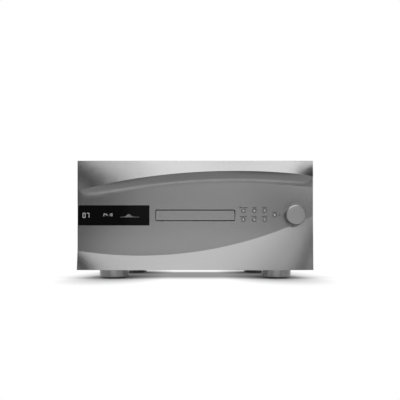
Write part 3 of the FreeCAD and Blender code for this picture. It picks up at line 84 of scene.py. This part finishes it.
def noise(tree, vector, scale, detail=4.0, rough=0.5):
    """Noise over a vector, as a value around one half."""
    node = add(tree, "ShaderNodeTexNoise", Scale=scale, Detail=detail, Roughness=rough)
    tree.links.new(vector, node.inputs["Vector"])
    return node.outputs["Fac"]


def spread(tree, value, low, high, from_low=0.3, from_high=0.7):
    """Value moved to a new range."""
    node = tree.nodes.new("ShaderNodeMapRange")
    node.inputs["From Min"].default_value = from_low
    node.inputs["From Max"].default_value = from_high
    node.inputs["To Min"].default_value = low
    node.inputs["To Max"].default_value = high
    tree.links.new(value, node.inputs["Value"])
    return node.outputs["Result"]


def math_node(tree, operation, *values):
    """Result of one operation on links or plain numbers."""
    node = tree.nodes.new("ShaderNodeMath")
    node.operation = operation
    for index, value in enumerate(values):
        if isinstance(value, float):
            node.inputs[index].default_value = value
        else:
            tree.links.new(value, node.inputs[index])
    return node.outputs[0]


def tint(tree, value, dark, light):
    """Colour between two colours by a value."""
    node = tree.nodes.new("ShaderNodeMix")
    node.data_type = "RGBA"
    node.inputs["A"].default_value = (*dark, 1)
    node.inputs["B"].default_value = (*light, 1)
    tree.links.new(value, node.inputs["Factor"])
    return node.outputs["Result"]


def grey(level, warm=0.0):
    """Grey of a level, a little warmer if asked."""
    return (level * (1 + warm), level, level * (1 - warm))


def finish(name, color, rough, metallic=0.0, grain=900.0, stretch=(1, 1, 1), depth=0.1, change=0.12,
           blotch=6.0, rough_change=0.06, coat=0.0, mirror=0.5):
    """Surface with fine grain in its bump, and slow changes of shade and gloss."""
    mat, tree, shader = new_material(name)
    fine = noise(tree, stretched(tree, stretch), grain, 5.0, 0.6)
    slow = noise(tree, stretched(tree, (1, 1, 1)), blotch, 3.0)
    both = math_node(tree, "MULTIPLY", math_node(tree, "ADD", fine, slow), 0.5)
    dark = tuple(channel * (1 - change) for channel in color)
    light = tuple(min(1, channel * (1 + change)) for channel in color)
    tree.links.new(tint(tree, spread(tree, both, 0, 1), dark, light), shader.inputs["Base Color"])
    tree.links.new(spread(tree, slow, rough - rough_change, rough + rough_change), shader.inputs["Roughness"])
    shader.inputs["Metallic"].default_value = metallic
    shader.inputs["Coat Weight"].default_value = coat
    shader.inputs["Specular IOR Level"].default_value = mirror
    bump = add(tree, "ShaderNodeBump", Strength=depth, Distance=0.0002)
    tree.links.new(fine, bump.inputs["Height"])
    tree.links.new(bump.outputs["Normal"], shader.inputs["Normal"])
    return mat


def turned_metal(name, color, rough, centre, along, rings=9000.0, depth=0.25):
    """Lathe-turned metal: fine rings about a centre line along one axis."""
    mat, tree, shader = new_material(name)
    where = tree.nodes.new("ShaderNodeTexCoord")
    shift = tree.nodes.new("ShaderNodeVectorMath")
    shift.operation = "SUBTRACT"
    shift.inputs[1].default_value = centre
    tree.links.new(where.outputs["Object"], shift.inputs[0])
    flat = tree.nodes.new("ShaderNodeVectorMath")
    flat.operation = "MULTIPLY"
    flat.inputs[1].default_value = tuple(0.0 if axis == along else 1.0 for axis in "xyz")
    tree.links.new(shift.outputs[0], flat.inputs[0])
    length = tree.nodes.new("ShaderNodeVectorMath")
    length.operation = "LENGTH"
    tree.links.new(flat.outputs[0], length.inputs[0])
    ring = tree.nodes.new("ShaderNodeTexNoise")
    ring.noise_dimensions = "1D"
    ring.inputs["Scale"].default_value = rings
    ring.inputs["Detail"].default_value = 3.0
    tree.links.new(length.outputs["Value"], ring.inputs["W"])
    slow = noise(tree, where.outputs["Object"], 30.0, 3.0)
    dark = tuple(channel * 0.93 for channel in color)
    light = tuple(min(1, channel * 1.06) for channel in color)
    tree.links.new(tint(tree, spread(tree, slow, 0, 1), dark, light), shader.inputs["Base Color"])
    tree.links.new(spread(tree, ring.outputs["Fac"], rough - 0.05, rough + 0.05), shader.inputs["Roughness"])
    shader.inputs["Metallic"].default_value = 1.0
    bump = add(tree, "ShaderNodeBump", Strength=depth, Distance=0.00005)
    tree.links.new(ring.outputs["Fac"], bump.inputs["Height"])
    tree.links.new(bump.outputs["Normal"], shader.inputs["Normal"])
    return mat


def circuit_board(name):
    """Green board with copper tracks showing as paler lines under the mask."""
    mat, tree, shader = new_material(name)
    vector = stretched(tree, (1, 1, 1))
    brick = tree.nodes.new("ShaderNodeTexBrick")
    brick.inputs["Scale"].default_value = 160.0
    brick.inputs["Color1"].default_value = (0.012, 0.085, 0.035, 1)
    brick.inputs["Color2"].default_value = (0.015, 0.11, 0.045, 1)
    brick.inputs["Mortar"].default_value = (0.03, 0.19, 0.08, 1)
    brick.inputs["Mortar Size"].default_value = 0.03
    tree.links.new(vector, brick.inputs["Vector"])
    tree.links.new(brick.outputs["Color"], shader.inputs["Base Color"])
    tree.links.new(spread(tree, noise(tree, vector, 60.0), 0.3, 0.45), shader.inputs["Roughness"])
    return mat


def winding_wrap(name):
    """Overlapping turns of tape round a wound ring."""
    mat, tree, shader = new_material(name)
    vector = stretched(tree, (1, 1, 1))
    wave = tree.nodes.new("ShaderNodeTexWave")
    wave.inputs["Scale"].default_value = 55.0
    wave.inputs["Distortion"].default_value = 1.5
    tree.links.new(vector, wave.inputs["Vector"])
    tape = tint(tree, wave.outputs["Fac"], (0.42, 0.30, 0.05), (0.62, 0.48, 0.12))
    tree.links.new(tape, shader.inputs["Base Color"])
    shader.inputs["Roughness"].default_value = 0.28
    bump = add(tree, "ShaderNodeBump", Strength=0.3, Distance=0.0004)
    tree.links.new(wave.outputs["Fac"], bump.inputs["Height"])
    tree.links.new(bump.outputs["Normal"], shader.inputs["Normal"])
    return mat


def glow(name, color, strength):
    """Lit display segment with a faint grain."""
    mat, tree, shader = new_material(name)
    grain = noise(tree, stretched(tree, (1, 1, 1)), 4000.0)
    tree.links.new(tint(tree, grain, tuple(c * 0.85 for c in color), color), shader.inputs["Emission Color"])
    shader.inputs["Base Color"].default_value = (0.02, 0.02, 0.02, 1)
    shader.inputs["Emission Strength"].default_value = strength
    shader.inputs["Roughness"].default_value = 0.4
    return mat


# Finishes by material slot

BLASTED = dict(metallic=1.0, grain=2600.0, depth=0.10, change=0.035, blotch=3.0, rough_change=0.015)
FINISHES = {
    "panel_aluminium": lambda: finish("panel_finish", grey(0.155), 0.25, **BLASTED),
    "tray_front_aluminium": lambda: finish("tray_front_finish", grey(0.16), 0.25, **BLASTED),
    "case_aluminium": lambda: finish("case_finish", grey(0.16), 0.34, **BLASTED),
    "base_steel": lambda: finish("base_paint", grey(0.05), 0.5, grain=1400, depth=0.5),
    "rear_steel": lambda: finish("rear_paint", grey(0.045), 0.5, grain=1400, depth=0.5),
    "bracket_steel": lambda: finish("bracket_zinc", grey(0.55), 0.35, 1.0, 300, (1, 12, 1), 0.12),
    "window_black": lambda: finish("window_gloss", grey(0.003), 0.08, 0.0, 500, depth=0.0,
                                   rough_change=0.02, mirror=0.03),
    "module_black": lambda: finish("module_plastic", grey(0.02), 0.5, grain=1500),
    "lens_dark": lambda: finish("lens_smoke", (0.02, 0.008, 0.008), 0.08, depth=0.0, rough_change=0.02),
    "tray_plastic": lambda: finish("tray_moulding", grey(0.022), 0.5, grain=2200, depth=0.35),
    "circuit_green": lambda: circuit_board("circuit_mask"),
    "pad_rubber": lambda: finish("pad_rubber_skin", grey(0.015), 0.8, grain=1600, depth=0.4),
    "fastener_steel": lambda: finish("fastener_zinc", grey(0.6), 0.3, 1.0, 1200),
    "fastener_black": lambda: finish("fastener_oxide", grey(0.03), 0.35, 0.6, 1200),
    "gear_nylon": lambda: finish("gear_acetal", (0.72, 0.70, 0.62), 0.4, grain=700),
    "brass_part": lambda: finish("brass_turned", (0.74, 0.55, 0.24), 0.28, 1.0, 900, (1, 1, 8)),
    "belt_rubber": lambda: finish("belt_skin", grey(0.012), 0.7, grain=1600),
    "motor_steel": lambda: finish("motor_can", grey(0.55), 0.3, 1.0, 900, (1, 1, 6)),
    "clamp_plastic": lambda: finish("clamp_moulding", grey(0.03), 0.45, grain=1500),
    "frame_casting": lambda: finish("frame_cast", grey(0.36), 0.5, 1.0, 900, depth=0.5),
    "rod_steel": lambda: finish("rod_ground", grey(0.75), 0.12, 1.0, 1200, (1, 6, 1), 0.05),
    "winding_wrap": lambda: winding_wrap("winding_tape"),
    "capacitor_sleeve": lambda: finish("capacitor_film", (0.01, 0.015, 0.05), 0.22, grain=300, coat=0.3),
    "gold_plate": lambda: finish("gold_plating", (0.83, 0.60, 0.24), 0.18, 1.0, 900, depth=0.03),
    "socket_nickel": lambda: finish("socket_plating", grey(0.66, 0.03), 0.2, 1.0, 900, depth=0.04),
    "socket_black": lambda: finish("socket_moulding", grey(0.02), 0.42, grain=1500, depth=0.3),
    "rocker_black": lambda: finish("rocker_moulding", grey(0.018), 0.2, grain=1500, depth=0.08),
    "button_metal": lambda: finish("button_polish", grey(0.27), 0.26, 1.0, 1500, depth=0.03),
}


def dress_nodes():
    """Give each CAD node its finish; turned pieces get rings about their own centre."""
    made = {}
    for entry in frame["record"]["subparts"]:
        name, slot = entry["node"], entry["material_slot"]
        low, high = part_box(name)
        centre = (low + high) / 2
        if slot == "foot_aluminium":
            mat = turned_metal(name + "_turned", grey(0.21), 0.20, centre, "z")
        elif slot == "knob_aluminium":
            mat = turned_metal(name + "_turned", grey(0.23), 0.27, centre, "y", 3000.0, 0.1)
        else:
            if slot not in made:
                made[slot] = FINISHES[slot]()
            mat = made[slot]
        piece = nodes[name]
        piece.data.materials.clear()
        piece.data.materials.append(mat)


# Small flat pieces

def flat_piece(name, outlines, thick, place, material, body="chassis"):
    """Thin plates standing on the XZ plane, one for each outline of (x, z) corners."""
    verts, faces = [], []
    for outline in outlines:
        start = len(verts)
        count = len(outline)
        verts += [(x, -thick, z) for x, z in outline]
        verts += [(x, 0.0, z) for x, z in outline]
        faces.append([start + i for i in range(count)])
        faces.append([start + count + i for i in reversed(range(count))])
        for i in range(count):
            j = (i + 1) % count
            faces.append([start + i, start + count + i, start + count + j, start + j])
    mesh = bpy.data.meshes.new(name)
    mesh.from_pydata([tuple(Vector(v) + Vector(place)) for v in verts], [], faces)
    mesh.update()
    piece = bpy.data.objects.new(name, mesh)
    bpy.context.scene.collection.objects.link(piece)
    piece.data.materials.append(material)
    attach(piece, body)
    return piece


def bar(x0, z0, x1, z1):
    """Outline of an upright rectangle."""
    return [(x0, z0), (x1, z0), (x1, z1), (x0, z1)]


SEGMENTS = {
    "a": (0, 2, 1, 2), "b": (1, 1, 1, 2), "c": (1, 0, 1, 1), "d": (0, 0, 1, 0),
    "e": (0, 0, 0, 1), "f": (0, 1, 0, 2), "g": (0, 1, 1, 1),
}
FIGURES = {
    "0": "abcdef", "1": "bc", "2": "abged", "3": "abgcd", "4": "fgbc", "5": "afgcd", "6": "afgedc",
    "7": "abc", "8": "abcdefg", "9": "abcdfg",
}


def figure(digit, x, z, height, stroke):
    """Bars of one seven-segment figure whose lower left corner is at x, z."""
    cell = height / 2
    gap = stroke * 0.2
    outlines = []
    for letter in FIGURES[digit]:
        u0, v0, u1, v1 = SEGMENTS[letter]
        x0, z0 = x + u0 * cell, z + v0 * cell
        x1, z1 = x + u1 * cell, z + v1 * cell
        if u0 == u1:
            outlines.append(bar(x0 - stroke / 2, z0 + gap, x0 + stroke / 2, z1 - gap))
        else:
            outlines.append(bar(x0 + gap, z0 - stroke / 2, x1 - gap, z0 + stroke / 2))
    return outlines


DISPLAY_THICK = 0.00015


def display_track(edge, middle, front, light):
    """Two tall figures near the window's left end."""
    start = edge + 0.010
    step = 0.0072
    height = 0.0085
    stroke = 0.0010
    outlines = []
    for index, digit in enumerate("07"):
        outlines += figure(digit, start + index * step, middle - height / 2, height, stroke)
    flat_piece("display_track", outlines, DISPLAY_THICK, (0, front, 0), light)


def display_time(start, middle, front, light):
    """Minutes and seconds in small figures, with two dots between them."""
    height = 0.0046
    stroke = 0.0006
    lift = 0.0012
    figure_step = 0.0041
    colon_step = 0.0019
    dot = 0.0006
    at = start
    outlines = []
    for digit in "24:18":
        if digit == ":":
            left = at - dot / 3
            for share in (0.3, 0.7):
                z = middle + height * (share - 0.5)
                outlines.append(bar(left, z - dot / 2, left + dot, z + dot / 2))
            at += colon_step
        else:
            outlines += figure(digit, at, middle - height / 2 + lift, height, stroke)
            at += figure_step
    flat_piece("display_time", outlines, DISPLAY_THICK, (0, front, 0), light)


def display_level(start, middle, front, light):
    """Row of thin bars that swell about one peak."""
    count = 17
    step = 0.0021
    width = 0.0009
    foot = middle - 0.0035
    least = 0.0008
    swell = 0.0052
    peak = 7
    breadth = 2.6
    outlines = []
    for index in range(count):
        rise = least + swell * math.exp(-((index - peak) / breadth) ** 2)
        x = start + index * step
        outlines.append(bar(x, foot, x + width, foot + rise))
    flat_piece("display_level", outlines, DISPLAY_THICK, (0, front, 0), light)


def display_figures():
    """Track number, playing time and level bars on the window's face."""
    low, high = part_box("display_window")
    length = high.x - low.x
    middle = (low.z + high.z) / 2
    pale = glow("figure_glow", (0.62, 0.64, 0.66), 0.75)
    dim = glow("line_glow", (0.5, 0.52, 0.55), 0.5)
    display_track(low.x, middle, low.y, pale)
    display_time(low.x + length * 0.36, middle, low.y, pale)
    display_level(low.x + length * 0.60, middle, low.y, dim)


def mark_outlines(kind, size):
    """Plain control sign of a given height, centred on the origin."""
    half = size / 2

    def arrow(x, way):
        line = [(x - way * half, -half), (x + way * half, 0), (x - way * half, half)]
        return line if way > 0 else line[::-1]

    def post(x):
        return bar(x - size * 0.16, -half, x + size * 0.16, half)

    if kind == "play":
        return [arrow(-size * 0.9, 1), post(size * 0.35), post(size * 0.95)]
    if kind == "stop":
        return [bar(-half, -half, half, half)]
    if kind == "next":
        return [arrow(-size * 0.85, 1), arrow(size * 0.1, 1), post(size * 0.85)]
    if kind == "previous":
        return [post(-size * 0.85), arrow(-size * 0.1, -1), arrow(size * 0.85, -1)]
    if kind == "open":
        return [[(-size, -half * 0.3), (size, -half * 0.3), (0, half)], bar(-size, -half, size, -half * 0.55)]
    if kind == "repeat":
        band = size * 0.24
        return [bar(-size, half - band, size, half), bar(-size, -half, size, -half + band),
                bar(-size, -half, -size + band, half), bar(size - band, -half, size, half)]
    band = size * 0.26
    steps = 14
    ring = []
    for index in range(steps):
        turn = [math.radians(130 + 280 * (index + k) / steps) for k in (0, 1)]
        inner = half - band
        ring.append([(half * math.cos(turn[0]), half * math.sin(turn[0])),
                     (half * math.cos(turn[1]), half * math.sin(turn[1])),
                     (inner * math.cos(turn[1]), inner * math.sin(turn[1])),
                     (inner * math.cos(turn[0]), inner * math.sin(turn[0]))])
    return ring + [bar(-band / 2, 0, band / 2, half * 1.2)]


def button_marks():
    """Printed signs between two dashes just above each button, on the panel's flat face."""
    ink = finish("mark_ink", grey(0.012), 0.6, grain=1500, depth=0.05, mirror=0.2)
    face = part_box("tray_front")[0].y - 0.0003
    size = 0.0022
    lift = 0.0059
    dash = 0.0007
    gap = 0.0005
    widths = {"play": 0.0146, "stop": 0.0070, "next": 0.0080, "open": 0.0124, "previous": 0.0098,
              "repeat": 0.0092, "power": 0.0078}
    for kind, width in widths.items():
        low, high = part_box("button_" + kind)
        x = (low.x + high.x) / 2
        z = (low.z + high.z) / 2
        outlines = mark_outlines(kind, size)
        clear = max(u for line in outlines for u, _ in line) + gap
        outlines += [bar(-width / 2, -dash, -clear, dash), bar(clear, -dash, width / 2, dash)]
        flat_piece("mark_" + kind, outlines, 0.00008, (x, face, z + lift), ink)


def socket_numbers():
    """Plain figures above the rear sockets, one for each column of a group."""
    paint = finish("number_paint", grey(0.62), 0.6, grain=1500, depth=0.05)
    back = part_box("rear_panel")[1].y
    height = 0.0045
    stroke = 0.0007
    shift = 0.001
    lift = 0.0035
    for name, columns in (("phono_sockets", 2), ("bayonet_sockets", 4), ("balanced_sockets", 2)):
        low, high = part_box(name)
        wide = (high.x - low.x) / columns
        for index in range(columns):
            x = high.x - wide * (index + 0.5) + shift
            outlines = [[(-u, v) for u, v in reversed(line)]
                        for line in figure(str(index + 1), 0, 0, height, stroke)]
            flat_piece("%s_number_%d" % (name, index), outlines, -0.0001, (x, back, high.z + lift),
                       paint)


# Studio

# Areas of painted shadow on the floor: a rectangle under the body, and pools stretched forward in front of
# the front feet. Each is an axis, an edge on both sides of it, a weight, and whether inside counts like
# outside
BODY_SHADE_EDGES = (("X", 0.18, 1.0, False), ("Y", 0.12, 1.0, False))
FOOT_SHADE_PLACES = (("X", 0.156, 1.0, True), ("Y", 0.16, 0.42, True))


def floor_distance(tree, vector, edges):
    """How far a point of the floor lies from a rectangle about the origin, or from its corners."""
    parts = tree.nodes.new("ShaderNodeSeparateXYZ")
    tree.links.new(vector, parts.inputs[0])
    square = 0.0
    for axis, edge, weight, corner in edges:
        away = math_node(tree, "SUBTRACT", math_node(tree, "ABSOLUTE", parts.outputs[axis]), edge)
        away = away if corner else math_node(tree, "MAXIMUM", away, 0.0)
        away = math_node(tree, "MULTIPLY", away, weight)
        square = math_node(tree, "ADD", square, math_node(tree, "MULTIPLY", away, away))
    return math_node(tree, "SQRT", square)


def floor_material():
    """Pale paper that looks white, with painted shadow: its white share is lowered near the body and around
    the front feet, and the rest of its soft shadow comes from the lamps.
    """
    mat, tree, shader = new_material("paper_floor")
    vector = stretched(tree, (1, 1, 1))
    tree.links.new(tint(tree, noise(tree, vector, 2.0), grey(0.36), grey(0.40)), shader.inputs["Base Color"])
    shader.inputs["Roughness"].default_value = 1.0
    shader.inputs["Specular IOR Level"].default_value = 0.0
    light = tree.nodes.new("ShaderNodeEmission")
    light.inputs["Strength"].default_value = 1.0
    path = tree.nodes.new("ShaderNodeLightPath")
    seen = path.outputs["Is Camera Ray"]
    for ray in ("Is Glossy Ray", "Is Transmission Ray"):
        seen = math_node(tree, "MAXIMUM", seen, path.outputs[ray])
    body = floor_distance(tree, vector, BODY_SHADE_EDGES)
    feet_shade_distance = floor_distance(tree, vector, FOOT_SHADE_PLACES)
    # Painted shadow: the white share drops to 0.30 against the body and to nothing in front of the front
    # feet, so the floor shows darker there
    share = math_node(tree, "MULTIPLY", seen, spread(tree, body, 0.30, 1.0, 0.0, 0.11))
    share = math_node(tree, "MULTIPLY", share, spread(tree, feet_shade_distance, 0.0, 1.0, 0.01, 0.10))
    mix = tree.nodes.new("ShaderNodeMixShader")
    tree.links.new(share, mix.inputs["Fac"])
    tree.links.new(shader.outputs["BSDF"], mix.inputs[1])
    tree.links.new(light.outputs["Emission"], mix.inputs[2])
    out = [node for node in tree.nodes if node.type == "OUTPUT_MATERIAL"][0]
    tree.links.new(mix.outputs["Shader"], out.inputs["Surface"])
    return mat


def sweep():
    """Floor that curves up into a backdrop behind the object."""
    half, front, back, bend, tall = 6.0, -6.0, 2.4, 0.8, 4.0
    profile = [(front, 0.0), (back, 0.0)]
    steps = 12
    for index in range(1, steps + 1):
        turn = math.pi / 2 * index / steps
        profile.append((back + bend * math.sin(turn), bend * (1 - math.cos(turn))))
    profile.append((back + bend, tall))
    verts = [(side * half, y, z) for y, z in profile for side in (-1, 1)]
    faces = [[2 * i, 2 * i + 1, 2 * i + 3, 2 * i + 2] for i in range(len(profile) - 1)]
    mesh = bpy.data.meshes.new("studio_sweep")
    mesh.from_pydata(verts, [], faces)
    for polygon in mesh.polygons:
        polygon.use_smooth = True
    stage = bpy.data.objects.new("studio_sweep", mesh)
    bpy.context.scene.collection.objects.link(stage)
    stage.data.materials.append(floor_material())


def lamp(name, place, aim, width, height, power):
    """Soft rectangular lamp aimed at a point."""
    data = bpy.data.lights.new(name, "AREA")
    data.shape = "RECTANGLE"
    data.size = width
    data.size_y = height
    data.energy = power
    obj = bpy.data.objects.new(name, data)
    bpy.context.scene.collection.objects.link(obj)
    direction = Vector(aim) - Vector(place)
    obj.rotation_euler = direction.to_track_quat("-Z", "Y").to_euler()
    obj.location = place
    return obj


def world():
    """Dim even surroundings."""
    scene_world = bpy.data.worlds.new("studio")
    scene_world.use_nodes = True
    back = scene_world.node_tree.nodes["Background"]
    back.inputs["Color"].default_value = (1, 1, 1, 1)
    back.inputs["Strength"].default_value = 0.15
    bpy.context.scene.world = scene_world


def camera():
    """Straight front view from low down, as in the photograph."""
    distance = 0.790
    data = bpy.data.cameras.new("camera")
    data.sensor_width = 36.0
    data.lens = 37.7
    data.shift_x = 0.0119
    data.shift_y = 0.1425
    data.clip_start = 0.01
    obj = bpy.data.objects.new("camera", data)
    obj.location = (0.0, -0.2045 - distance, 0.0415)
    obj.rotation_euler = (math.pi / 2, 0, 0)
    bpy.context.scene.collection.objects.link(obj)
    bpy.context.scene.camera = obj


def studio():
    """Backdrop, surroundings and soft lamps."""
    sweep()
    world()
    lamp("front_softbox", (0.4, -2.82, 1.55), (0.4, -0.2, 0.1), 2.9, 1.33, 41)
    lamp("upper_softbox", (0.06, -1.16, 1.51), (0.06, -0.2, 0.18), 1.62, 0.75, 17.6)
    lamp("right_card", (1.3, -2.3, 0.72), (0.2, -0.2, 0.1), 1.2, 0.36, 2.9)
    lamp("side_card", (2.1, -2.2, 0.42), (0.2, -0.2, 0.1), 0.8, 0.4, 2.4)
    lamp("left_card", (-1.85, -2.4, 0.85), (-0.2, -0.2, 0.1), 0.6, 0.45, 1.2)
    lamp("horizon_glow", (0.0, -2.8, 0.47), (0, -0.2, 0.12), 1.1, 0.36, 1.9)
    lamp("low_strip", (0.0, -1.05, 0.08), (0, -0.2, 0.08), 0.8, 0.12, 0.52)
    lamp("overhead", (0.0, 0.6, 1.9), (0, 0.0, 0.0), 2.0, 1.2, 22)


camera()
dress_nodes()
display_figures()
button_marks()
socket_numbers()
studio()
bpy.context.scene.view_settings.view_transform = "Standard"
